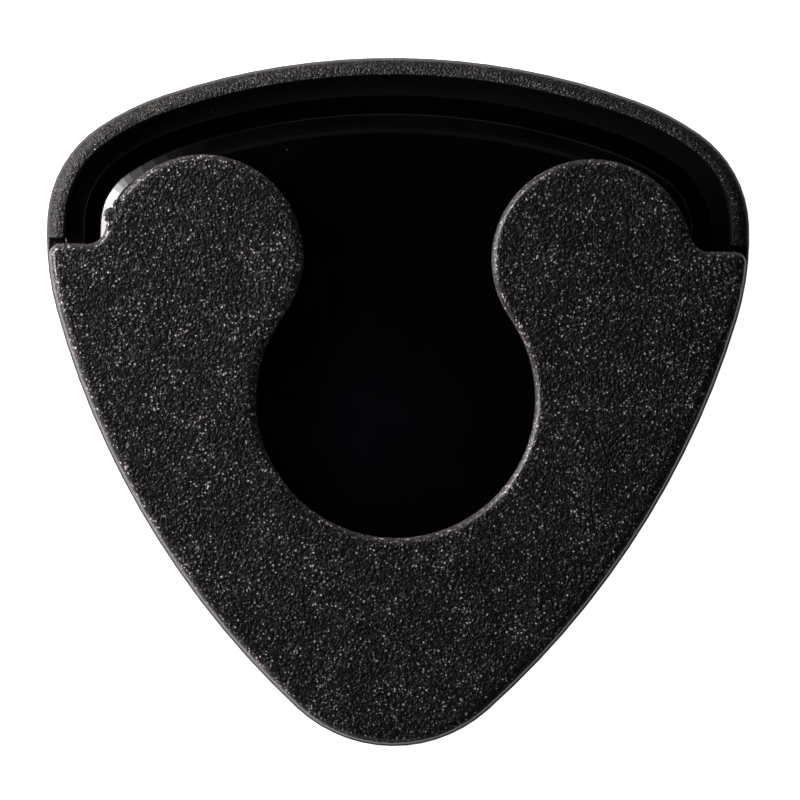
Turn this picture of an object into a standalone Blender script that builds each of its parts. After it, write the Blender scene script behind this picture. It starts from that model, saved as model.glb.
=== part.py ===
"""Stick-on pick holder: a pick-shaped case with a spring-loaded plate behind an open front.

It lies on its back: +Z points out of the front face, +Y to the mouth where picks go in.
The origin is under the middle of the case, on the surface that it lies on.
"""

from math import asin, atan2, ceil, cos, degrees, pi, radians, sin, sqrt, tan

import bmesh
import bpy
from mathutils import Matrix, Vector

MM = 0.001

# Outline of the case, as tangent arcs from the middle of the mouth edge down the right
# side to the tip. Each has its radius and the direction of its outward normal where it
# ends, in degrees from +X. The long side ends where the tip arc lands on the centre line.
MOUTH_ARC = (42.7 * MM, 70.8)
MOUTH_CORNER_ARC = (16.5 * MM, 55.7)
SHOULDER_ARC = (7.0 * MM, 3.0)
FLANK_ARC = (17.1 * MM, -16.1)
SIDE_RADIUS = 51.0 * MM
TIP_RADIUS = 8.45 * MM
CHORD_ERROR = 0.012 * MM

# Heights, from the surface up.
LINER_THICKNESS = 0.12 * MM
PAD_THICKNESS = 1.0 * MM
LAYER_GAP = 0.02 * MM
FLOOR_THICKNESS = 1.2 * MM
PAD_BACK = LINER_THICKNESS + LAYER_GAP
PAD_FRONT = PAD_BACK + PAD_THICKNESS
SHELL_BACK = PAD_FRONT + LAYER_GAP
FLOOR_TOP = SHELL_BACK + FLOOR_THICKNESS
SEAM_HEIGHT = 5.6 * MM
STEP_HEIGHT = 6.7 * MM
LIP_HEIGHT = 7.6 * MM
FRONT_HEIGHT = 9.65 * MM
COVER_SKIN = 1.3 * MM
SKIN_BACK = FRONT_HEIGHT - COVER_SKIN
SEAM_GAP = 0.06 * MM

# Widths, measured in from the outline.
WALL_DRAFT = radians(2.2)
LIP_WIDTH = 1.15 * MM
WALL_WIDTH = 2.35 * MM
PLATE_INSET = 3.3 * MM
PAD_INSET = 1.5 * MM

# Base shell: rounding of its back edge, and the soft chamfer outside the lip's flat top.
BACK_ROUNDING = 0.6 * MM
LIP_CHAMFER_INSET = 0.62 * MM
LIP_CHAMFER_DROP = 0.4 * MM
LIP_OUTER_ROUNDING = 0.3 * MM
LIP_TOP_ROUNDING = 0.5 * MM
LIP_INNER_ROUNDING = 0.1 * MM
STEP_ROUNDING = 0.12 * MM

# Front cover: two round ears over the mouth and a round thumb opening between them.
# Ears, opening and shoulders are given with no draft. The front edge is set in by it.
EAR_CENTRE = Vector((11.58, 8.58)) * MM
EAR_RADIUS = 6.26 * MM
OPENING_CENTRE = Vector((0.0, 0.2)) * MM
SHOULDER_Y = 9.42 * MM
SHOULDER_SLOT = 0.26 * MM
EAR_FILLET = 0.85 * MM
SHOULDER_FILLET = 0.9 * MM
FRONT_ROUNDING = 0.42 * MM

# Pressure plate: a shallow cup, open at the back, with a peg for the spring. It lies a
# little to one side of the pocket, within its clearance.
PLATE_OFFSET = Vector((-0.1, -0.04, 0.0)) * MM
PLATE_TOP = SKIN_BACK - 0.05 * MM
PLATE_THICKNESS = 1.2 * MM
PLATE_BACK = PLATE_TOP - PLATE_THICKNESS
PLATE_DEPTH = 2.6 * MM
PLATE_SKIRT = 1.0 * MM
LEAD_IN_WIDTH = 0.9 * MM
LEAD_IN_DROP = 0.65 * MM
LEAD_IN_EDGE = 0.25 * MM
LEAD_IN_CREASE = 1.0 * MM
PEG_RADIUS = 2.3 * MM
PEG_HEIGHT = 1.0 * MM

# Conical spring and the ring that seats its wide end.
SPRING_CENTRE = Vector((0.0, 2.5)) * MM
WIRE_DIAMETER = 0.5 * MM
SPRING_FOOT_RADIUS = 5.6 * MM
SPRING_HEAD_RADIUS = 2.85 * MM
SPRING_TURNS = 4.5
SPRING_END_TURN = 0.75
SPRING_END_GAP = 0.03 * MM
POINTS_PER_TURN = 20
SEAT_INNER_RADIUS = 6.1 * MM
SEAT_WALL = 0.9 * MM
SEAT_HEIGHT = 0.8 * MM

# Ribs that keep the plate central: one at the tip, and one on each side at these heights
# along the case.
RIB_STATIONS = (5.0 * MM, -8.0 * MM)
RIB_WIDTH = 1.2 * MM
RIB_CLEARANCE = 0.15 * MM
RIB_BELOW_STEP = 0.5 * MM

# How far pieces that a Boolean joins reach into each other, and cutters past a surface.
OVERLAP = 0.4 * MM
ROUNDING_ANGLE = radians(22.5)

COLLECTION_NAME = "pick_holder"
CUTTER_COLLECTION_NAME = "cutters"


def clear_scene():
    for item in list(bpy.data.objects):
        bpy.data.objects.remove(item, do_unlink=True)


def new_collection(name):
    collection = bpy.data.collections.new(name)
    bpy.context.scene.collection.children.link(collection)
    return collection


def new_material(name, colour, roughness, metallic=0.0):
    material = bpy.data.materials.new(name)
    material.use_nodes = True
    shader = material.node_tree.nodes["Principled BSDF"]
    shader.inputs["Base Color"].default_value = (*colour, 1.0)
    shader.inputs["Roughness"].default_value = roughness
    shader.inputs["Metallic"].default_value = metallic
    return material


# ---------------------------------------------------------------- outlines

def arc_steps(radius, start, end):
    """Chords that keep an arc within CHORD_ERROR of round."""
    step = sqrt(8.0 * CHORD_ERROR / radius)
    return max(2, ceil(abs(radians(end - start)) / step))


def arc_points(centre, radius, start, end):
    """Points of an arc after its first one, with its angles in degrees from +X."""
    steps = arc_steps(radius, start, end)
    angles = [radians(start + (end - start) * i / steps) for i in range(1, steps + 1)]
    return [centre + radius * Vector((cos(a), sin(a))) for a in angles]


def outline_arcs():
    """(centre, radius, start, end) of each arc of the right half, from mouth to tip."""
    arcs = []
    start = 90.0
    centre = Vector((0.0, 0.0))
    previous_radius = MOUTH_ARC[0]
    for radius, end in (MOUTH_ARC, MOUTH_CORNER_ARC, SHOULDER_ARC, FLANK_ARC):
        normal = Vector((cos(radians(start)), sin(radians(start))))
        centre = centre + (previous_radius - radius) * normal
        arcs.append((centre, radius, start, end))
        start = end
        previous_radius = radius
    normal = Vector((cos(radians(start)), sin(radians(start))))
    centre = centre + (previous_radius - SIDE_RADIUS) * normal
    end = -90.0 + degrees(asin(-centre.x / (SIDE_RADIUS - TIP_RADIUS)))
    arcs.append((centre, SIDE_RADIUS, start, end))
    normal = Vector((cos(radians(end)), sin(radians(end))))
    tip_centre = centre + (SIDE_RADIUS - TIP_RADIUS) * normal
    arcs.append((tip_centre, TIP_RADIUS, end, -90.0))
    # Put the middle of the outline's height at y = 0.
    top = MOUTH_ARC[0]
    bottom = tip_centre.y - TIP_RADIUS
    shift = Vector((0.0, -(top + bottom) / 2))
    return [(c + shift, r, a, b) for c, r, a, b in arcs]


def mirrored(right_half):
    """Whole closed outline, from the points of its right half, both ends on x = 0."""
    left_half = [Vector((-p.x, p.y)) for p in reversed(right_half[1:-1])]
    return right_half + left_half


def case_outline():
    """Outline of the whole case, counter-clockwise from the tip."""
    arcs = outline_arcs()
    tip_centre, tip_radius = arcs[-1][:2]
    points = [tip_centre + Vector((0.0, -tip_radius))]
    for centre, radius, start, end in reversed(arcs):
        points += arc_points(centre, radius, end, start)
    points[-1].x = 0.0
    return mirrored(points)


def cover_outline():
    """Outline of the front cover: the case below the shoulders, two ears and the opening."""
    flank, side, tip = outline_arcs()[3:]
    points = [tip[0] + Vector((0.0, -tip[1]))]
    points += arc_points(tip[0], tip[1], tip[3], tip[2])
    points += arc_points(side[0], side[1], side[3], side[2])

    # Outer corner of the shoulder, rounded into the flank.
    corner_y = SHOULDER_Y - SHOULDER_FILLET
    reach = flank[1] - SHOULDER_FILLET
    corner = Vector((flank[0].x + sqrt(reach**2 - (corner_y - flank[0].y) ** 2), corner_y))
    meets = degrees(atan2(corner.y - flank[0].y, corner.x - flank[0].x))
    points += arc_points(flank[0], flank[1], flank[3], meets)
    points += arc_points(corner, SHOULDER_FILLET, meets, 90.0)

    # Hollow corner between the shoulder and the ear.
    hollow_y = SHOULDER_Y + EAR_FILLET
    reach = EAR_RADIUS + EAR_FILLET
    hollow = Vector((EAR_CENTRE.x + sqrt(reach**2 - (hollow_y - EAR_CENTRE.y) ** 2), hollow_y))
    points.append(Vector((hollow.x, SHOULDER_Y)))
    to_ear = degrees(atan2(EAR_CENTRE.y - hollow.y, EAR_CENTRE.x - hollow.x)) % 360.0
    points += arc_points(hollow, EAR_FILLET, 270.0, to_ear)

    # Round the ear, then back along the thumb opening to the centre line.
    span = EAR_CENTRE - OPENING_CENTRE
    opening_radius = span.length - EAR_RADIUS
    to_opening = degrees(atan2(-span.y, -span.x)) % 360.0
    points += arc_points(EAR_CENTRE, EAR_RADIUS, to_ear - 180.0, to_opening)
    points += arc_points(OPENING_CENTRE, opening_radius, to_opening - 180.0, -90.0)
    points[-1].x = 0.0
    return mirrored(points)


def draft_inset(height):
    """How far the outer wall has leaned in at a height, from its widest, above the rounding."""
    return (height - SHELL_BACK - BACK_ROUNDING) * tan(WALL_DRAFT)


def rounded_profile(corners):
    """Profile points (inset, z) of corners (inset, z, radius), rounded to their radius."""
    points = []
    for i, (inset, z, radius) in enumerate(corners):
        corner = Vector((inset, z))
        if not radius:
            points.append(corner)
            continue
        before = (Vector(corners[i - 1][:2]) - corner).normalized()
        after = (Vector(corners[i + 1][:2]) - corner).normalized()
        half_angle = before.angle(after) / 2
        centre = corner + (before + after).normalized() * radius / sin(half_angle)
        first = corner + before * radius / tan(half_angle) - centre
        turn = first.angle_signed(corner + after * radius / tan(half_angle) - centre)
        steps = max(2, round(abs(turn) / ROUNDING_ANGLE))
        for step in range(steps + 1):
            points.append(centre + Matrix.Rotation(-turn * step / steps, 2) @ first)
    return points


# ---------------------------------------------------------------- solids

def object_from(mesh, name, collection, material=None):
    bmesh.ops.recalc_face_normals(mesh, faces=mesh.faces)
    data = bpy.data.meshes.new(name)
    mesh.to_mesh(data)
    mesh.free()
    item = bpy.data.objects.new(name, data)
    collection.objects.link(item)
    if material:
        data.materials.append(material)
    else:
        item.hide_render = True
        item.display_type = "WIRE"
    return item


def inset_outline(outline, distance):
    """The outline with every side moved inwards by the same distance."""
    moved = []
    for before, point, after in zip(outline[-1:] + outline[:-1], outline, outline[1:] + outline[:1]):
        arriving, leaving = point - before, after - point
        first = Vector((arriving.y, -arriving.x)).normalized()
        second = Vector((leaving.y, -leaving.x)).normalized()
        moved.append(point - distance * (first + second) / (1.0 + first.dot(second)))
    return moved


def swept(name, outline, profile, collection, material=None):
    """Closed solid whose profile, a list of (inset, z), runs all round an outline.

    It starts with a flat face at the first point and ends with one at the last.
    """
    mesh = bmesh.new()
    rings = [
        [mesh.verts.new((p.x, p.y, z)) for p in inset_outline(outline, inset)] for inset, z in profile
    ]
    mesh.faces.new(rings[0])
    mesh.faces.new(rings[-1])
    for low, high in zip(rings, rings[1:]):
        for i in range(len(outline)):
            mesh.faces.new((low[i - 1], low[i], high[i], high[i - 1]))
    return object_from(mesh, name, collection, material)


def cylinder(name, radius, low, high, collection, segments=48):
    """Upright cylinder on the spring's axis, between two heights."""
    mesh = bmesh.new()
    place = Matrix.Translation((*SPRING_CENTRE, (low + high) / 2))
    bmesh.ops.create_cone(
        mesh,
        cap_ends=True,
        segments=segments,
        radius1=radius,
        radius2=radius,
        depth=high - low,
        matrix=place,
    )
    return object_from(mesh, name, collection)


def box(name, size, centre, collection, angle=0.0):
    mesh = bmesh.new()
    place = Matrix.Translation(centre) @ Matrix.Rotation(angle, 4, "Z") @ Matrix.Diagonal((*size, 1.0))
    bmesh.ops.create_cube(mesh, size=1.0, matrix=place)
    return object_from(mesh, name, collection)


def combine(item, tool, operation):
    """Apply one Boolean to an object's mesh."""
    modifier = item.modifiers.new(tool.name, "BOOLEAN")
    modifier.operation = operation
    modifier.object = tool
    modifier.solver = "EXACT"
    graph = bpy.context.evaluated_depsgraph_get()
    result = bpy.data.meshes.new_from_object(item.evaluated_get(graph))
    item.modifiers.remove(modifier)
    item.data = result


def shade(item, sharp_angle=32.0):
    item.data.shade_smooth()
    item.data.set_sharp_from_angle(angle=radians(sharp_angle))


# ---------------------------------------------------------------- pieces

def wall_at(height):
    """Point of the case's right-hand outline at a height along the case, and its normal."""
    for centre, radius, start, end in outline_arcs():
        if centre.y + radius * sin(radians(end)) <= height:
            angle = asin((height - centre.y) / radius)
            normal = Vector((cos(angle), sin(angle)))
            return centre + radius * normal, normal
    raise ValueError("height is below the tip")


def add_rib(shell, cutters, point, normal):
    """Join a rib to the inside of the wall, at a point of the outline with its normal."""
    outer = WALL_WIDTH - OVERLAP
    inner = PLATE_INSET - RIB_CLEARANCE
    middle = point - normal * (outer + inner) / 2
    low = FLOOR_TOP - OVERLAP
    high = STEP_HEIGHT - RIB_BELOW_STEP
    rib = box(
        "rib",
        (inner - outer, RIB_WIDTH, high - low),
        (middle.x, middle.y, (low + high) / 2),
        cutters,
        angle=atan2(normal.y, normal.x),
    )
    combine(shell, rib, "UNION")


def make_base_shell(collection, cutters, material):
    """Back shell: floor, stepped wall and the lip of the mouth, with ribs and spring seat."""
    lip_edge = LIP_HEIGHT - LIP_CHAMFER_DROP
    profile = rounded_profile([
        (BACK_ROUNDING * 2, SHELL_BACK, 0),
        (draft_inset(SHELL_BACK), SHELL_BACK, BACK_ROUNDING),
        (draft_inset(lip_edge), lip_edge, LIP_OUTER_ROUNDING),
        (LIP_CHAMFER_INSET, LIP_HEIGHT, LIP_TOP_ROUNDING),
        (LIP_WIDTH, LIP_HEIGHT, LIP_INNER_ROUNDING),
        (LIP_WIDTH, STEP_HEIGHT, 0),
        (WALL_WIDTH, STEP_HEIGHT, STEP_ROUNDING),
        (WALL_WIDTH, FLOOR_TOP, 0),
    ])
    shell = swept("base_shell", case_outline(), profile, collection, material)

    # Below the shoulders the cover's skirt takes the place of the outer part of the wall.
    lip_end = SHOULDER_Y - draft_inset(SEAM_HEIGHT) + SHOULDER_SLOT
    reach = 30 * MM
    top = LIP_HEIGHT + OVERLAP
    seat = box(
        "skirt_seat",
        (2 * reach, reach + lip_end, top - SEAM_HEIGHT),
        (0.0, (lip_end - reach) / 2, (top + SEAM_HEIGHT) / 2),
        cutters,
    )
    core_inset = LIP_WIDTH + SEAM_GAP
    core_profile = [(core_inset, SEAM_HEIGHT - OVERLAP), (core_inset, top + OVERLAP)]
    combine(seat, swept("seat_core", case_outline(), core_profile, cutters), "DIFFERENCE")
    combine(shell, seat, "DIFFERENCE")

    for height in RIB_STATIONS:
        point, normal = wall_at(height)
        add_rib(shell, cutters, point, normal)
        add_rib(shell, cutters, Vector((-point.x, point.y)), Vector((-normal.x, normal.y)))
    tip_centre, tip_radius = outline_arcs()[-1][:2]
    add_rib(shell, cutters, tip_centre - Vector((0.0, tip_radius)), Vector((0.0, -1.0)))

    ring_low, ring_high = FLOOR_TOP - OVERLAP, FLOOR_TOP + SEAT_HEIGHT
    ring = cylinder("spring_seat", SEAT_INNER_RADIUS + SEAT_WALL, ring_low, ring_high, cutters)
    hole = cylinder(
        "spring_seat_hole", SEAT_INNER_RADIUS, ring_low - OVERLAP, ring_high + OVERLAP, cutters
    )
    combine(ring, hole, "DIFFERENCE")
    combine(shell, ring, "UNION")
    shade(shell)


def make_front_cover(collection, cutters, material):
    """Front cover: skin with ears and thumb opening, and a skirt that sits on the shell."""
    back = SEAM_HEIGHT + SEAM_GAP
    front_inset = draft_inset(FRONT_HEIGHT)
    profile = rounded_profile([
        (draft_inset(back), back, 0),
        (front_inset, FRONT_HEIGHT, FRONT_ROUNDING),
        (front_inset + 2 * FRONT_ROUNDING, FRONT_HEIGHT, 0),
    ])[:-1]
    cover = swept("front_cover", cover_outline(), profile, collection, material)

    step = STEP_HEIGHT + SEAM_GAP
    core_profile = [
        (LIP_WIDTH, back - OVERLAP),
        (LIP_WIDTH, step),
        (WALL_WIDTH, step),
        (WALL_WIDTH, SKIN_BACK),
    ]
    combine(cover, swept("cover_core", case_outline(), core_profile, cutters), "DIFFERENCE")
    shade(cover)


def make_pressure_plate(collection, cutters, material):
    """Plate with a sloped lead-in edge and a skirt, hollow behind, with the spring's peg."""
    inner = PLATE_INSET + PLATE_SKIRT
    rim = PLATE_TOP - PLATE_DEPTH
    profile = rounded_profile([
        (inner, PLATE_BACK, 0),
        (inner, rim, 0),
        (PLATE_INSET, rim, 0),
        (PLATE_INSET, PLATE_TOP - LEAD_IN_DROP, LEAD_IN_EDGE),
        (PLATE_INSET + LEAD_IN_WIDTH, PLATE_TOP, LEAD_IN_CREASE),
        (PLATE_INSET + 2 * LEAD_IN_WIDTH, PLATE_TOP, 0),
    ])[:-1]
    plate = swept("pressure_plate", case_outline(), profile, collection, material)
    peg = cylinder("spring_peg", PEG_RADIUS, PLATE_BACK - PEG_HEIGHT, PLATE_BACK + OVERLAP, cutters)
    combine(plate, peg, "UNION")
    # Its origin is on the line that it slides along, at the face.
    origin = Vector((*SPRING_CENTRE, PLATE_TOP))
    plate.data.transform(Matrix.Translation(PLATE_OFFSET - origin))
    plate.location = origin
    shade(plate)


def make_pressure_spring(collection, material):
    """Conical coil spring with a flat turn at each end, as a wire along its helix."""
    low = FLOOR_TOP + SPRING_END_GAP + WIRE_DIAMETER / 2
    high = PLATE_BACK - SPRING_END_GAP - WIRE_DIAMETER / 2
    steps = round(SPRING_TURNS * POINTS_PER_TURN)
    curve = bpy.data.curves.new("pressure_spring", "CURVE")
    curve.dimensions = "3D"
    curve.bevel_depth = WIRE_DIAMETER / 2
    curve.bevel_resolution = 2
    curve.use_fill_caps = True
    spline = curve.splines.new("POLY")
    spline.points.add(steps)
    for step in range(steps + 1):
        turn = SPRING_TURNS * step / steps
        rise = (turn - SPRING_END_TURN) / (SPRING_TURNS - 2 * SPRING_END_TURN)
        z = low + (high - low) * min(max(rise, 0.0), 1.0)
        radius = SPRING_FOOT_RADIUS + (SPRING_HEAD_RADIUS - SPRING_FOOT_RADIUS) * step / steps
        angle = 2 * pi * turn
        spline.points[step].co = (radius * cos(angle), radius * sin(angle), z - FLOOR_TOP, 1.0)
    spring = bpy.data.objects.new("pressure_spring", curve)
    spring.location = (*SPRING_CENTRE, FLOOR_TOP)
    collection.objects.link(spring)
    curve.materials.append(material)


def make_layer(name, low, high, collection, material):
    """Flat layer behind the shell: the foam pad or its liner."""
    layer = swept(name, case_outline(), [(PAD_INSET, low), (PAD_INSET, high)], collection, material)
    shade(layer)


def main():
    clear_scene()
    parts = new_collection(COLLECTION_NAME)
    cutters = new_collection(CUTTER_COLLECTION_NAME)
    shell_black = new_material("grained_black_shell", (0.020, 0.019, 0.019), 0.6)
    cover_black = new_material("grained_black_cover", (0.016, 0.015, 0.016), 0.5)
    gloss_black = new_material("gloss_black", (0.004, 0.004, 0.005), 0.1)
    spring_steel = new_material("spring_steel", (0.62, 0.62, 0.60), 0.3, metallic=1.0)
    foam = new_material("white_foam", (0.78, 0.78, 0.75), 0.9)
    paper = new_material("liner_paper", (0.80, 0.74, 0.58), 0.6)

    make_layer("release_liner", 0.0, LINER_THICKNESS, parts, paper)
    make_layer("foam_pad", PAD_BACK, PAD_FRONT, parts, foam)
    make_base_shell(parts, cutters, shell_black)
    make_pressure_spring(parts, spring_steel)
    make_pressure_plate(parts, cutters, gloss_black)
    make_front_cover(parts, cutters, cover_black)


main()
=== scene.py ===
"""Looks of the stick-on pick holder, made round its fixed CAD nodes.

The holder lies on its back: +Z points out of its front, +Y to the mouth. Lengths are in
metres. Heights come from the nodes' boxes. The spring's path and the place of the left
ear repeat the part's own dimensions.
"""

from math import atan2, cos, exp, pi, radians, sin

import bmesh
import bpy
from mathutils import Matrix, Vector
from mathutils import noise as field


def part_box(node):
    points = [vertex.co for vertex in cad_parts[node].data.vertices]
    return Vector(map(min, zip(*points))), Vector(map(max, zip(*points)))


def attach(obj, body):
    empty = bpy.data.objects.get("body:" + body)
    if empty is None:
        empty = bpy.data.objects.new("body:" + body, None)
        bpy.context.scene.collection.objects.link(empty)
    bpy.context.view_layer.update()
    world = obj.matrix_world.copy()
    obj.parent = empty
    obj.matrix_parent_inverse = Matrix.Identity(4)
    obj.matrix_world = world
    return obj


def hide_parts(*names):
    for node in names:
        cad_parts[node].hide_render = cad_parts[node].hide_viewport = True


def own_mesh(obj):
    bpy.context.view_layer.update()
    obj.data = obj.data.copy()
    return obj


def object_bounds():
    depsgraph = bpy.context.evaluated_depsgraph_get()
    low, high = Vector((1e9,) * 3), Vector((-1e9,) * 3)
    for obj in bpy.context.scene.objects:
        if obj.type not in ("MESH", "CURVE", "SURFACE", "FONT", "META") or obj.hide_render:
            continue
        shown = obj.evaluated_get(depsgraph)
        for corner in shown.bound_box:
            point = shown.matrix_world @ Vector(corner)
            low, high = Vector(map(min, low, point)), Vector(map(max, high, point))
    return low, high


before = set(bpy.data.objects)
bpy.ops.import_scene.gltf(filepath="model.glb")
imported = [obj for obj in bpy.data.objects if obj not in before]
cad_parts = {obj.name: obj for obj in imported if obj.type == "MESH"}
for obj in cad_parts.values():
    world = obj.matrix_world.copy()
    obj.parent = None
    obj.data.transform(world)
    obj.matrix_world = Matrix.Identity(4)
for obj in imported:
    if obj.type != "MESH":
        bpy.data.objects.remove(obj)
CAD_LOW, CAD_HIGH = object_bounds()
MM = 0.001
LIP_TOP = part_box("base_shell")[1].z
PLATE_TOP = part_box("pressure_plate")[1].z
COVER_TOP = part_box("front_cover")[1].z


# ---------------------------------------------------------------- node helpers

def new_material(name):
    """Empty material with its output, as (material, node tree, output node)."""
    material = bpy.data.materials.new(name)
    material.use_nodes = True
    tree = material.node_tree
    tree.nodes.clear()
    return material, tree, tree.nodes.new("ShaderNodeOutputMaterial")


def add(tree, kind, inputs=None, **properties):
    """One node, with its inputs by name or number: a socket is linked, a value is set."""
    node = tree.nodes.new("ShaderNode" + kind)
    for key, value in properties.items():
        setattr(node, key, value)
    for key, value in (inputs or {}).items():
        if isinstance(value, bpy.types.NodeSocket):
            tree.links.new(value, node.inputs[key])
        else:
            node.inputs[key].default_value = value
    return node


def math(tree, operation, first, second=0.0):
    """Result of a math node, on sockets or numbers."""
    return add(tree, "Math", {0: first, 1: second}, operation=operation).outputs[0]


def ramp(tree, value, stops):
    """Colour ramp over a value. Stops are (position, grey or colour)."""
    node = add(tree, "ValToRGB", {0: value})
    elements = node.color_ramp.elements
    while len(elements) < len(stops):
        elements.new(0.5)
    for element, (position, colour) in zip(elements, stops):
        element.position = position
        element.color = (*colour, 1.0) if isinstance(colour, tuple) else (*(colour,) * 3, 1.0)
    return node.outputs["Color"]


def spread(tree, value, low, high, to_low=0.0, to_high=1.0):
    """The value's range low..high, spread over to_low..to_high and held at the ends."""
    node = add(
        tree,
        "MapRange",
        {
            "Value": value,
            "From Min": low,
            "From Max": high,
            "To Min": to_low,
            "To Max": to_high,
        },
    )
    return node.outputs["Result"]


def noise(tree, place, size, detail=2.0, roughness=0.5, distortion=0.0):
    """Soft noise whose features are about this size, in metres."""
    node = add(
        tree,
        "TexNoise",
        {
            "Vector": place,
            "Scale": 1.0 / size,
            "Detail": detail,
            "Roughness": roughness,
            "Distortion": distortion,
        },
    )
    return node.outputs["Fac"]


def cells(tree, place, size):
    """Scattered cells of about this size in metres: distance from the middle, and colour."""
    return add(tree, "TexVoronoi", {"Vector": place, "Scale": 1.0 / size})


def bump(tree, height, distance, strength=1.0, normal=None):
    """Bumped normal, for a height of 0 to 1 that stands for this distance in metres."""
    inputs = {"Height": height, "Distance": distance, "Strength": strength}
    if normal:
        inputs["Normal"] = normal
    return add(tree, "Bump", inputs).outputs["Normal"]


def eased(tree, radius):
    """Normal that turns smoothly over edges, as if they were rounded to this radius."""
    return add(tree, "Bevel", {"Radius": radius}, samples=6).outputs["Normal"]


def mix_colour(tree, factor, first, second):
    """Colour from the first, at factor 0, to the second, at factor 1."""
    node = add(tree, "Mix", data_type="RGBA")
    inputs = (node.inputs[0], factor), (node.inputs[6], first), (node.inputs[7], second)
    for socket, value in inputs:
        if isinstance(value, bpy.types.NodeSocket):
            tree.links.new(value, socket)
        elif isinstance(value, tuple):
            socket.default_value = (*value, 1.0)
        else:
            socket.default_value = value
    return node.outputs[2]


def tinted(tree, tint, level):
    """A grey level in the colour of a tint."""
    node = add(tree, "Mix", data_type="RGBA", blend_type="MULTIPLY")
    node.inputs[0].default_value = 1.0
    tree.links.new(tint, node.inputs[6])
    tree.links.new(level, node.inputs[7])
    return node.outputs[2]


def finish(material, tree, output, inputs):
    """The material, made of one Principled shader with these inputs."""
    shader = add(tree, "BsdfPrincipled", inputs)
    tree.links.new(shader.outputs[0], output.inputs["Surface"])
    return material


# ---------------------------------------------------------------- materials

# Width of one pebble of grain, and how deep it is in the bump.
COVER_GRAIN, COVER_GRAIN_DEPTH = 0.17 * MM, 0.12 * MM
SHELL_GRAIN, SHELL_GRAIN_DEPTH = 0.14 * MM, 0.13 * MM
# Level faces of the shell that are further than this below its lip are polished.
BELOW_LIP = 0.6 * MM
# Limit of the grey level of grain.
PALEST = 0.5
# Radius that the shading gives to edges.
COVER_EASING, POLISHED_EASING = 0.12 * MM, 0.10 * MM
# Middle of the film that fingers leave on the plate, in the thumb opening.
THUMB_SPOT = (-1.5 * MM, -1.0 * MM, PLATE_TOP)


def centred(tree, value, amount):
    """A 0 to 1 value, moved to lie about zero and scaled."""
    return math(tree, "MULTIPLY", math(tree, "SUBTRACT", value, 0.5), amount)


def total(tree, *values):
    """Sum of any number of values."""
    running = values[0]
    for value in values[1:]:
        running = math(tree, "ADD", running, value)
    return running


def pebbled(tree, place, grain):
    """Height of a spark-eroded grain, about zero: round pebbles among finer broken ones."""
    pebble = cells(tree, place, grain)
    dome = spread(tree, pebble.outputs["Distance"], 0.0, 0.6, 1.0, 0.0)
    size = add(tree, "SeparateColor", {0: pebble.outputs["Color"]}).outputs[0]
    mean_dome = 0.22
    domes = math(tree, "SUBTRACT", math(tree, "MULTIPLY", dome, size), mean_dome)
    domes = math(tree, "MULTIPLY", domes, 0.55)
    broken = centred(tree, noise(tree, place, grain * 1.1, 1.0), 0.8)
    fine = centred(tree, noise(tree, place, grain * 0.45, 1.0), 0.3)
    return total(tree, domes, broken, fine)


def mottled(tree, height, patches, middle, contrast):
    """Grey level of grain: painted shade in its pits, painted glints on its tips, lighter in
    patches of wear.
    """
    lift = total(tree, height, patches)
    return math(tree, "MULTIPLY", math(tree, "POWER", exp(contrast), lift), middle)


def grained_plastic():
    """The front cover: black plastic moulded against a coarse spark-eroded surface.

    Pale specks on its grain are painted glints. Its rounded edge is smoother, with a painted
    highlight that makes it paler, and its steep walls are paler and warmer by painted light.
    """
    material, tree, output = new_material("cover_plastic")
    coords = add(tree, "TexCoord")
    place = coords.outputs["Object"]
    height = pebbled(tree, place, COVER_GRAIN)
    patches = centred(tree, noise(tree, place, 1.8 * MM, 4.0, 0.62), 0.55)
    # Grain level with painted shade in the pits and painted glints on the tips.
    level = mottled(tree, height, patches, middle=0.0062, contrast=14.5)
    # Painted glints: pale specks scattered over the grain.
    specks = cells(tree, place, 0.5 * MM)
    lottery = add(tree, "SeparateColor", {0: specks.outputs["Color"]}).outputs[0]
    near = spread(tree, specks.outputs["Distance"], 0.08, 0.24, 1.0, 0.0)
    glint_specks = math(tree, "MULTIPLY", near, spread(tree, lottery, 0.72, 1.0))
    upright = add(tree, "SeparateXYZ", {0: coords.outputs["Normal"]}).outputs["Z"]
    edge = spread(tree, upright, 0.99, 0.86)
    # Painted light: steep walls are made paler and warmer, as if lit by the white table beside
    # them.
    wall = spread(tree, upright, 0.75, 0.35)
    # Painted highlight: the rounded edge's grey level is raised. Its lower roughness further
    # down is its real smoother finish.
    edge_highlight = math(tree, "ADD", math(tree, "MULTIPLY", edge, 3.5), 1.0)
    # Grain level, plus painted glints on specks, a painted highlight on the rounded edge and
    # painted light on the steep walls.
    level = total(
        tree,
        math(tree, "MULTIPLY", level, edge_highlight),
        math(tree, "MULTIPLY", glint_specks, 0.09),
        math(tree, "MULTIPLY", edge, 0.016),
        math(tree, "MULTIPLY", wall, 0.04),
    )
    hue = spread(tree, noise(tree, place, 0.9 * MM, 3.0), 0.35, 0.65)
    tint = mix_colour(tree, hue, (0.95, 0.88, 1.0), (1.0, 0.86, 0.90))
    # Painted light: the warm tint of the steep walls.
    tint = mix_colour(tree, wall, tint, (1.0, 0.87, 0.80))
    rough = spread(tree, height, -0.2, 0.25, 0.42, 0.37)
    strength = spread(tree, edge, 0.0, 1.0, 1.0, 0.25)
    return finish(material, tree, output, {
        "Base Color": tinted(tree, tint, math(tree, "MINIMUM", level, PALEST)),
        "Roughness": math(tree, "SUBTRACT", rough, math(tree, "MULTIPLY", edge, 0.20)),
        "IOR": 1.5,
        "Specular IOR Level": 0.27,
        "Normal": bump(tree, height, COVER_GRAIN_DEPTH, strength, eased(tree, COVER_EASING)),
    })


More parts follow.
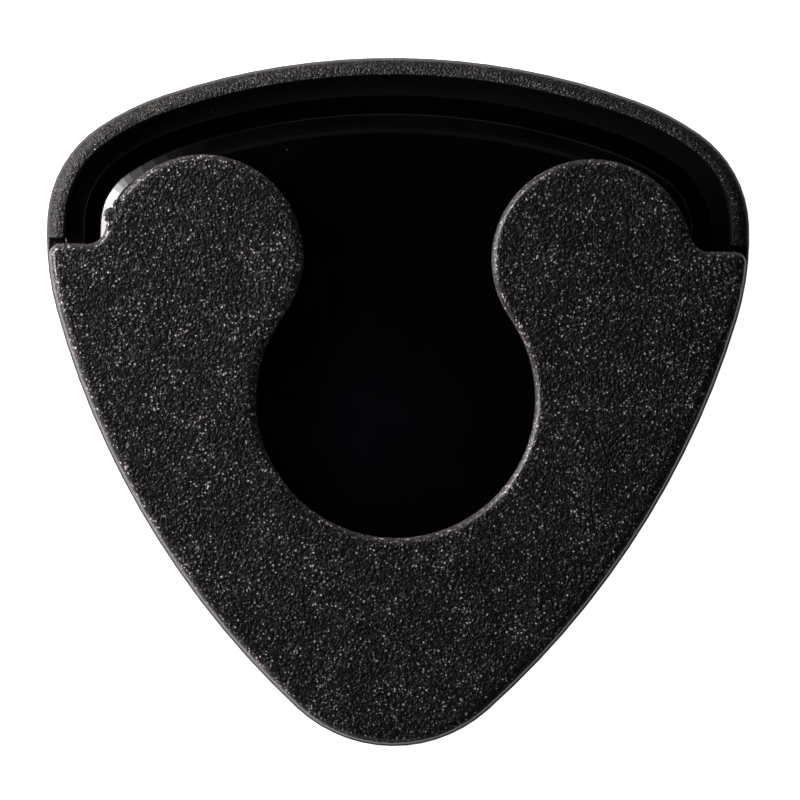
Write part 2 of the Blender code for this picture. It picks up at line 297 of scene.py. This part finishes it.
def polished(tree, place):
    """Roughness and normal of a polished moulding, with flow marks, haze and streaks."""
    waves = noise(tree, place, 6.0 * MM, 2.0, 0.4)
    haze = noise(tree, place, 3.5 * MM, 4.0, 0.6)
    stretched = add(tree, "Mapping", {"Vector": place, "Scale": (9.0, 1.0, 1.0)}).outputs[0]
    streaks = noise(tree, stretched, 4.0 * MM, 3.0, 0.55)
    fine = noise(tree, place, 0.12 * MM, 1.0)
    wavy = bump(tree, waves, 0.012 * MM, normal=eased(tree, POLISHED_EASING))
    normal = bump(tree, fine, 0.0006 * MM, normal=wavy)
    rough = math(
        tree,
        "ADD",
        spread(tree, haze, 0.35, 0.75, 0.10, 0.20),
        spread(tree, streaks, 0.55, 0.8, 0.0, 0.05),
    )
    return rough, normal


def dusted(tree, place, colour, spacing):
    """The colour, with specks of pale dust about this far apart."""
    away = cells(tree, place, spacing).outputs["Distance"]
    dust = spread(tree, away, 0.012, 0.03, 0.35, 0.0)
    return mix_colour(tree, dust, colour, (0.22, 0.22, 0.23))


def gloss_plastic():
    """The sprung plate: black plastic from a polished mould."""
    material, tree, output = new_material("plate_plastic")
    coords = add(tree, "TexCoord")
    place = coords.outputs["Object"]
    rough, normal = polished(tree, place)
    away = add(tree, "VectorMath", {0: place, 1: THUMB_SPOT}, operation="DISTANCE")
    cloud = total(
        tree,
        spread(tree, away.outputs["Value"], 2.0 * MM, 9.0 * MM, 1.0, 0.0),
        centred(tree, noise(tree, place, 4.0 * MM, 3.0), 1.2),
    )
    clean, filmed = (0.0006, 0.0006, 0.0007), (0.0022, 0.0022, 0.0034)
    film = mix_colour(tree, spread(tree, cloud, 0.1, 1.1), clean, filmed)
    upright = add(tree, "SeparateXYZ", {0: coords.outputs["Normal"]}).outputs["Z"]
    return finish(material, tree, output, {
        "Base Color": dusted(tree, place, film, 1.9 * MM),
        "Roughness": math(tree, "ADD", rough, spread(tree, upright, 0.98, 0.85, 0.0, 0.04)),
        "IOR": 1.48,
        "Normal": normal,
    })


def shell_two_finishes():
    """The base shell: fine grain on its outer wall and lip, polished inside the lip."""
    material, tree, output = new_material("shell_plastic")
    coords = add(tree, "TexCoord")
    place = coords.outputs["Object"]
    normal_parts = add(tree, "SeparateXYZ", {0: coords.outputs["Normal"]})
    parts = add(tree, "SeparateXYZ", {0: place})
    outward = math(
        tree,
        "ADD",
        math(tree, "MULTIPLY", parts.outputs["X"], normal_parts.outputs["X"]),
        math(tree, "MULTIPLY", parts.outputs["Y"], normal_parts.outputs["Y"]),
    )
    facing_in = spread(tree, outward, -0.001, -0.0025)
    ledge = math(
        tree,
        "MULTIPLY",
        math(tree, "GREATER_THAN", normal_parts.outputs["Z"], 0.9),
        math(tree, "LESS_THAN", parts.outputs["Z"], LIP_TOP - BELOW_LIP),
    )
    inside = math(tree, "MAXIMUM", facing_in, ledge)
    outside = math(tree, "SUBTRACT", 1.0, inside)
    flat = spread(tree, normal_parts.outputs["Z"], 0.93, 0.99)

    height = pebbled(tree, place, SHELL_GRAIN)
    patches = centred(tree, noise(tree, place, 1.2 * MM, 3.0, 0.6), 0.4)
    # Grain level with painted shade in the pits and painted glints on the tips.
    level = mottled(tree, height, patches, middle=0.020, contrast=8.0)
    tint = mix_colour(tree, flat, (0.95, 0.78, 0.70), (0.95, 0.92, 0.90))
    grained = tinted(tree, tint, math(tree, "MINIMUM", level, PALEST))
    rough, smooth_normal = polished(tree, place)
    inner = dusted(tree, place, (0.0045, 0.0045, 0.0048), 1.6 * MM)
    return finish(material, tree, output, {
        "Base Color": mix_colour(tree, inside, grained, inner),
        "Roughness": math(tree, "MAXIMUM", rough, math(tree, "MULTIPLY", outside, 0.42)),
        "IOR": 1.5,
        "Specular IOR Level": 0.36,
        "Normal": bump(tree, height, SHELL_GRAIN_DEPTH, outside, smooth_normal),
    })


def steel_wire():
    """Drawn spring wire: bright, with fine lines and a few duller patches."""
    material, tree, output = new_material("spring_wire")
    place = add(tree, "TexCoord").outputs["Object"]
    flattened = add(tree, "Mapping", {"Vector": place, "Scale": (1.0, 1.0, 6.0)}).outputs[0]
    lines = noise(tree, flattened, 0.3 * MM, 3.0)
    dull = spread(tree, noise(tree, place, 2.0 * MM, 3.0), 0.4, 0.7)
    return finish(material, tree, output, {
        "Base Color": mix_colour(tree, dull, (0.60, 0.60, 0.58), (0.42, 0.41, 0.39)),
        "Metallic": 1.0,
        "Roughness": spread(tree, lines, 0.3, 0.7, 0.18, 0.42),
        "Normal": bump(tree, lines, 0.006 * MM),
    })


def closed_cell_foam():
    """White foam tape: fine closed cells, cut open along the edge."""
    material, tree, output = new_material("closed_cell_foam")
    place = add(tree, "TexCoord").outputs["Object"]
    cell = math(tree, "MULTIPLY", cells(tree, place, 0.22 * MM).outputs["Distance"], 0.6)
    coarse = math(tree, "MULTIPLY", cells(tree, place, 0.5 * MM).outputs["Distance"], 0.4)
    height = math(tree, "ADD", cell, coarse)
    raised = spread(tree, height, 0.1, 0.6)
    return finish(material, tree, output, {
        "Base Color": mix_colour(tree, raised, (0.55, 0.55, 0.52), (0.82, 0.82, 0.79)),
        "Roughness": 0.85,
        "Normal": bump(tree, height, 0.06 * MM),
    })


def waxed_paper():
    """Release liner: cream paper with short fibres under a thin wax coat."""
    material, tree, output = new_material("waxed_paper")
    place = add(tree, "TexCoord").outputs["Object"]
    fibres = noise(tree, place, 0.9 * MM, 6.0, 0.7, 1.5)
    paler = spread(tree, noise(tree, place, 5.0 * MM, 2.0), 0.3, 0.8, 0.0, 0.3)
    paper = spread(tree, fibres, 0.35, 0.65)
    paper = mix_colour(tree, paper, (0.74, 0.65, 0.44), (0.84, 0.77, 0.57))
    return finish(material, tree, output, {
        "Base Color": mix_colour(tree, paler, paper, (0.88, 0.82, 0.66)),
        "Roughness": spread(tree, fibres, 0.3, 0.7, 0.38, 0.55),
        "Normal": bump(tree, fibres, 0.01 * MM),
    })


# ---------------------------------------------------------------- pieces

# The coil's path, which is the CAD spring's with more steps. SMOOTHING is how much of its
# climb is eased in and out.
SPRING_CENTRE = Vector((0.0, 2.5 * MM, 0.0))
WIRE_RADIUS = 0.25 * MM
FOOT_RADIUS, HEAD_RADIUS = 5.6 * MM, 2.85 * MM
SPRING_TURNS, FLAT_TURN = 4.5, 0.75
STEPS_PER_TURN, WIRE_SIDES = 56, 12
END_TAPER = 0.92
SMOOTHING = 0.25

# The foam's cut edge. A pit reaches this share of a cell from its middle.
FOAM_CELL = 0.30 * MM
PIT_DEPTH, PIT_REACH = 0.11 * MM, 0.55
EDGE_SPACING, EDGE_LEVELS = 0.12 * MM, 9

# Lumps of flash, round the middle of the left ear: each one's angle in degrees, the
# distance out to its own middle, and its radius.
EAR_MIDDLE = Vector((-11.58 * MM, 8.58 * MM, 0.0))
FLASH_DEPTH, FLASH_HALF_HEIGHT = 0.36 * MM, 0.33
FLASH_SQUARENESS = 4
# How the lumps' surfaces wander: how far and over what size, in millimetres. Each lump
# takes its noise from a place of its own, this far from the one before.
FLASH_KNOBS = ((0.030, 0.11), (0.045, 0.26))
FLASH_NOISE_STEP = 7.0
EAR_FLASH = (
    (163.5, 5.66 * MM, 0.33 * MM),
    (157.2, 5.88 * MM, 0.50 * MM),
    (153.8, 5.56 * MM, 0.46 * MM),
    (149.8, 5.86 * MM, 0.34 * MM),
    (147.0, 5.52 * MM, 0.36 * MM),
    (143.4, 5.70 * MM, 0.22 * MM),
    (140.0, 5.50 * MM, 0.26 * MM),
    (136.5, 5.46 * MM, 0.20 * MM),
)


def paint(name, material):
    """Give a CAD node this material alone."""
    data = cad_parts[name].data
    data.materials.clear()
    data.materials.append(material)


def new_piece(name, mesh, material, body):
    """A finished piece from a bmesh, on a CAD body. Its faces are smooth, but not its caps."""
    bmesh.ops.recalc_face_normals(mesh, faces=mesh.faces)
    for face in mesh.faces:
        face.smooth = len(face.verts) < 5
    data = bpy.data.meshes.new(name)
    mesh.to_mesh(data)
    mesh.free()
    data.materials.append(material)
    piece = bpy.data.objects.new(name, data)
    bpy.context.scene.collection.objects.link(piece)
    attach(piece, body)
    return piece


def band(mesh, low, high):
    """Faces between two closed rings of vertices with the same count."""
    for index in range(len(low)):
        mesh.faces.new((low[index - 1], low[index], high[index], high[index - 1]))


def close_tube(mesh, rings):
    """Faces along a row of rings, with a cap at each end."""
    for before, after in zip(rings, rings[1:]):
        band(mesh, before, after)
    mesh.faces.new(rings[0])
    mesh.faces.new(rings[-1])


def make_spring():
    """Conical coil of round wire, narrow under the plate, and flat at each end."""
    low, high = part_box("pressure_spring")
    steps = round(SPRING_TURNS * STEPS_PER_TURN)
    bottom, rise = low.z + WIRE_RADIUS, high.z - low.z - 2 * WIRE_RADIUS
    mesh = bmesh.new()
    rings = []
    for step in range(steps + 1):
        turn = SPRING_TURNS * step / steps
        share = (turn - FLAT_TURN) / (SPRING_TURNS - 2 * FLAT_TURN)
        share = min(max(share, 0.0), 1.0)
        smooth = share * share * (3.0 - 2.0 * share)
        share = smooth * SMOOTHING + share * (1.0 - SMOOTHING)
        radius = FOOT_RADIUS + (HEAD_RADIUS - FOOT_RADIUS) * step / steps
        out = Vector((cos(2 * pi * turn), sin(2 * pi * turn), 0.0))
        middle = SPRING_CENTRE + out * radius + Vector((0.0, 0.0, bottom + rise * share))
        wire = WIRE_RADIUS * (END_TAPER if step in (0, steps) else 1.0)
        ring = []
        for side in range(WIRE_SIDES):
            angle = 2 * pi * side / WIRE_SIDES
            around = out * cos(angle) + Vector((0.0, 0.0, sin(angle)))
            ring.append(mesh.verts.new(middle + wire * around))
        rings.append(ring)
    close_tube(mesh, rings)
    spring = new_piece("coil_spring", mesh, steel_wire(), "case")
    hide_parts("pressure_spring")
    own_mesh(spring)


def evenly(points, spacing):
    """Points about this far apart round a closed line."""
    placed = []
    for start, end in zip(points, points[1:] + points[:1]):
        count = max(1, round((end - start).length / spacing))
        placed += [start.lerp(end, index / count) for index in range(count)]
    return placed


def make_foam_pad():
    """Die-cut foam: flat faces, and a cut edge whose opened cells are small pits."""
    low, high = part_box("foam_pad")
    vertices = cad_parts["foam_pad"].data.vertices
    corners = {(round(vertex.co.x, 6), round(vertex.co.y, 6)) for vertex in vertices}
    corners = [Vector(corner) for corner in corners]
    outline = sorted(corners, key=lambda corner: atan2(corner.y, corner.x))
    outline = evenly(outline, EDGE_SPACING)
    last = EDGE_LEVELS - 1
    mesh = bmesh.new()
    rings = []
    for level in range(EDGE_LEVELS):
        z = low.z + (high.z - low.z) * level / last
        depth = 0.0 if level in (0, last) else PIT_DEPTH
        ring = []
        for point in outline:
            place = Vector((point.x, point.y, z))
            nearest = field.voronoi(place / FOAM_CELL)[0][0]
            pit = depth * max(0.0, 1.0 - nearest / PIT_REACH)
            outward = Vector((point.x, point.y, 0.0)).normalized()
            ring.append(mesh.verts.new(place - outward * pit))
        rings.append(ring)
    close_tube(mesh, rings)
    pad = new_piece("foam_tape", mesh, closed_cell_foam(), "case")
    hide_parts("foam_pad")


def make_ear_flash(material):
    """Rough lumps of moulding flash on the outer edge of the left ear, flush with its face."""
    mesh = bmesh.new()
    for index, (angle, out, radius) in enumerate(EAR_FLASH):
        turned = radians(angle)
        middle = EAR_MIDDLE + Vector((cos(turned), sin(turned), 0.0)) * out
        middle.z = COVER_TOP - FLASH_DEPTH
        lump = bmesh.ops.create_icosphere(mesh, subdivisions=4, radius=1.0)["verts"]
        for vertex in lump:
            flat = Vector((vertex.co.x, vertex.co.y, 0.0))
            rounded = flat.length ** FLASH_SQUARENESS + vertex.co.z ** FLASH_SQUARENESS
            squat = rounded ** (-1.0 / FLASH_SQUARENESS)
            seed = vertex.co * (radius / MM) + Vector((index * FLASH_NOISE_STEP, 0.0, 0.0))
            knobs = sum(amount * field.noise(seed / size) for amount, size in FLASH_KNOBS)
            place = flat * squat * (radius + knobs * MM)
            place.z = vertex.co.z * squat * (FLASH_HALF_HEIGHT + 0.5 * knobs) * MM
            vertex.co = middle + place
    new_piece("ear_flash", mesh, material, "case")


cover_plastic = grained_plastic()
paint("front_cover", cover_plastic)
paint("base_shell", shell_two_finishes())
paint("pressure_plate", gloss_plastic())
paint("release_liner", waxed_paper())
make_spring()
make_foam_pad()
make_ear_flash(cover_plastic)


# ---------------------------------------------------------------- stage, light and camera

WHITE = (1.0, 1.0, 1.0)
KEY_TINT = (1.0, 0.955, 0.975)
CAMERA_GREY = (0.93, 0.93, 0.93)
FLOOR_SIZE, FLOOR_DROP = 12.0, 0.00002
# Lights are aimed at this height.
AIM_HEIGHT = 0.005

# A row of small softboxes carries the key light round the top left corner. They get dimmer
# on the way, and rise after the first third of it. Angles are in degrees.
ROW_COUNT = 16
ROW_START, ROW_SWEEP = 155.0, 46.0
ROW_DISTANCE, ROW_WIDTH = 0.15, 0.024
SHOULDER_HEIGHT, SHOULDER_POWER = 0.050, 0.026
SHOULDER_ELEVATION, SHOULDER_RISE = 19.5, 11.0

# The plate is smooth enough to mirror the tall boxes, which would fill it with white in
# views from the side. A thin strip at the angle of its lead-in lights the plate instead.
STRIP_HEIGHT, STRIP_POWER = 0.016, 0.032
STRIP_ELEVATION = 18.0


def make_floor():
    """Pale table. For the camera it glows, so that it is plain white with no shadow."""
    mesh = bmesh.new()
    bmesh.ops.create_grid(mesh, x_segments=1, y_segments=1, size=FLOOR_SIZE)
    data = bpy.data.meshes.new("floor")
    mesh.to_mesh(data)
    mesh.free()
    floor = bpy.data.objects.new("floor", data)
    floor.location.z = CAD_LOW.z - FLOOR_DROP
    bpy.context.scene.collection.objects.link(floor)
    material, tree, output = new_material("pale_floor")
    place = add(tree, "TexCoord").outputs["Object"]
    mottle = noise(tree, place, 0.2, 3.0)
    data.materials.append(finish(material, tree, output, {
        "Base Color": mix_colour(tree, mottle, (0.80, 0.80, 0.80), (0.84, 0.84, 0.84)),
        "Roughness": 0.9,
        "Emission Color": (*WHITE, 1.0),
        "Emission Strength": add(tree, "LightPath").outputs["Is Camera Ray"],
    }))
    floor.visible_glossy = False


def make_light(name, azimuth, elevation, distance, size, power, colour=WHITE):
    """Softbox aimed at the holder. Azimuth is from +X, anticlockwise seen from the front."""
    light = bpy.data.lights.new(name, "AREA")
    light.shape = "RECTANGLE"
    light.size, light.size_y = size
    light.energy = power
    light.color = colour
    box = bpy.data.objects.new(name, light)
    azimuth, elevation = radians(azimuth), radians(elevation)
    level = cos(elevation)
    direction = Vector((cos(azimuth) * level, sin(azimuth) * level, sin(elevation)))
    box.location = direction * distance + Vector((0.0, 0.0, AIM_HEIGHT))
    box.rotation_euler = direction.to_track_quat("Z", "Y").to_euler()
    box.visible_camera = False
    bpy.context.scene.collection.objects.link(box)
    return box


def limit_to(name, state):
    """Collection that limits a light to the plate, or to everything but the plate."""
    group = bpy.data.collections.new(name)
    group.objects.link(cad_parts["pressure_plate"])
    group.collection_objects[0].light_linking.link_state = state
    return group


def make_light_row():
    """The softboxes round the top left corner, and the plate's strip in their place."""
    only_plate = limit_to("only_plate", "INCLUDE")
    all_but_plate = limit_to("all_but_plate", "EXCLUDE")
    for index in range(ROW_COUNT):
        share = index / ROW_COUNT
        azimuth = ROW_START - ROW_SWEEP * share
        rise = min(max(4.0 * share - 1.4, 0.0), 1.0)
        elevation = SHOULDER_ELEVATION + SHOULDER_RISE * rise
        rows = (
            ("shoulder", elevation, SHOULDER_HEIGHT, SHOULDER_POWER, 1.2, all_but_plate),
            ("strip", STRIP_ELEVATION, STRIP_HEIGHT, STRIP_POWER, 3.5, only_plate),
        )
        for name, up, height, power, fading, receivers in rows:
            size = (ROW_WIDTH, height)
            dimmed = power * (1.0 - share) ** fading
            box = make_light(f"{name}_{index:02d}", azimuth, up, ROW_DISTANCE, size, dimmed)
            box.light_linking.receiver_collection = receivers


# Brightness of the dark studio by the height of the direction: 0 at the horizon and 1
# straight up. The plate's rounded edge mirrors the grey surround low down, its slope the
# dark above that, and its crease the ring near the top.
STUDIO_GLOW = (
    (-0.10, 0.0),
    (0.0, 0.050),
    (0.02, 0.300),
    (0.05, 0.900),
    (0.09, 0.300),
    (0.14, 0.030),
    (0.25, 0.004),
    (0.40, 0.004),
    (0.55, 0.040),
    (0.75, 0.025),
    (0.93, 0.070),
    (0.955, 0.110),
    (0.985, 0.005),
    (1.0, 0.004),
)

# The white table that steep walls mirror, bright towards the upper left only.
TABLE_GLOW = 0.8
TABLE_SIDE = radians(140.0)


def make_world():
    """Dark studio with a few soft bands of light. The camera sees it pale."""
    world = bpy.data.worlds.new("studio")
    world.use_nodes = True
    tree = world.node_tree
    tree.nodes.clear()
    direction = add(tree, "TexCoord").outputs["Generated"]
    height = add(tree, "SeparateXYZ", {0: direction}).outputs["Z"]
    lowest = STUDIO_GLOW[0][0]
    stops = [((level - lowest) / (1.0 - lowest), grey) for level, grey in STUDIO_GLOW]
    studio = ramp(tree, spread(tree, height, lowest, 1.0), stops)
    side = (cos(TABLE_SIDE), sin(TABLE_SIDE), 0.0)
    towards = add(tree, "VectorMath", {0: direction, 1: side}, operation="DOT_PRODUCT")
    below = spread(tree, height, -0.2, -0.6)
    table = math(tree, "MULTIPLY", below, spread(tree, towards.outputs["Value"], -0.3, 0.3))
    glow = math(tree, "ADD", studio, math(tree, "MULTIPLY", table, TABLE_GLOW))
    to_camera = add(tree, "LightPath").outputs["Is Camera Ray"]
    shown = mix_colour(tree, to_camera, glow, CAMERA_GREY)
    background = add(tree, "Background", {"Color": shown, "Strength": 1.0})
    output = tree.nodes.new("ShaderNodeOutputWorld")
    tree.links.new(background.outputs[0], output.inputs["Surface"])
    bpy.context.scene.world = world


def make_camera():
    """Long lens straight above the holder, rolled and moved a little from square on."""
    distance = 1.5
    view_width = 47.83 * MM
    across, up = 0.24 * MM, 0.12 * MM
    roll = radians(0.70)
    data = bpy.data.cameras.new("camera")
    data.sensor_width = 36.0
    data.lens = data.sensor_width * distance / view_width
    data.clip_start, data.clip_end = 0.1, 30.0
    camera = bpy.data.objects.new("camera", data)
    camera.location = (across, up, CAD_LOW.z + distance)
    camera.rotation_euler = (0.0, 0.0, roll)
    bpy.context.scene.collection.objects.link(camera)
    bpy.context.scene.camera = camera


make_floor()
make_world()
make_light("key", 170.0, 18.5, 0.11, (0.062, 0.034), 0.150, KEY_TINT)
make_light("key_high", 175.0, 60.0, 0.15, (0.050, 0.030), 0.012)
make_light_row()
make_light("top_fill", 75.0, 4.5, 0.40, (0.40, 0.04), 0.03)
make_light("low_fill", 262.0, 9.0, 0.20, (0.12, 0.04), 0.04)
make_camera()
bpy.context.scene.view_settings.view_transform = "Standard"
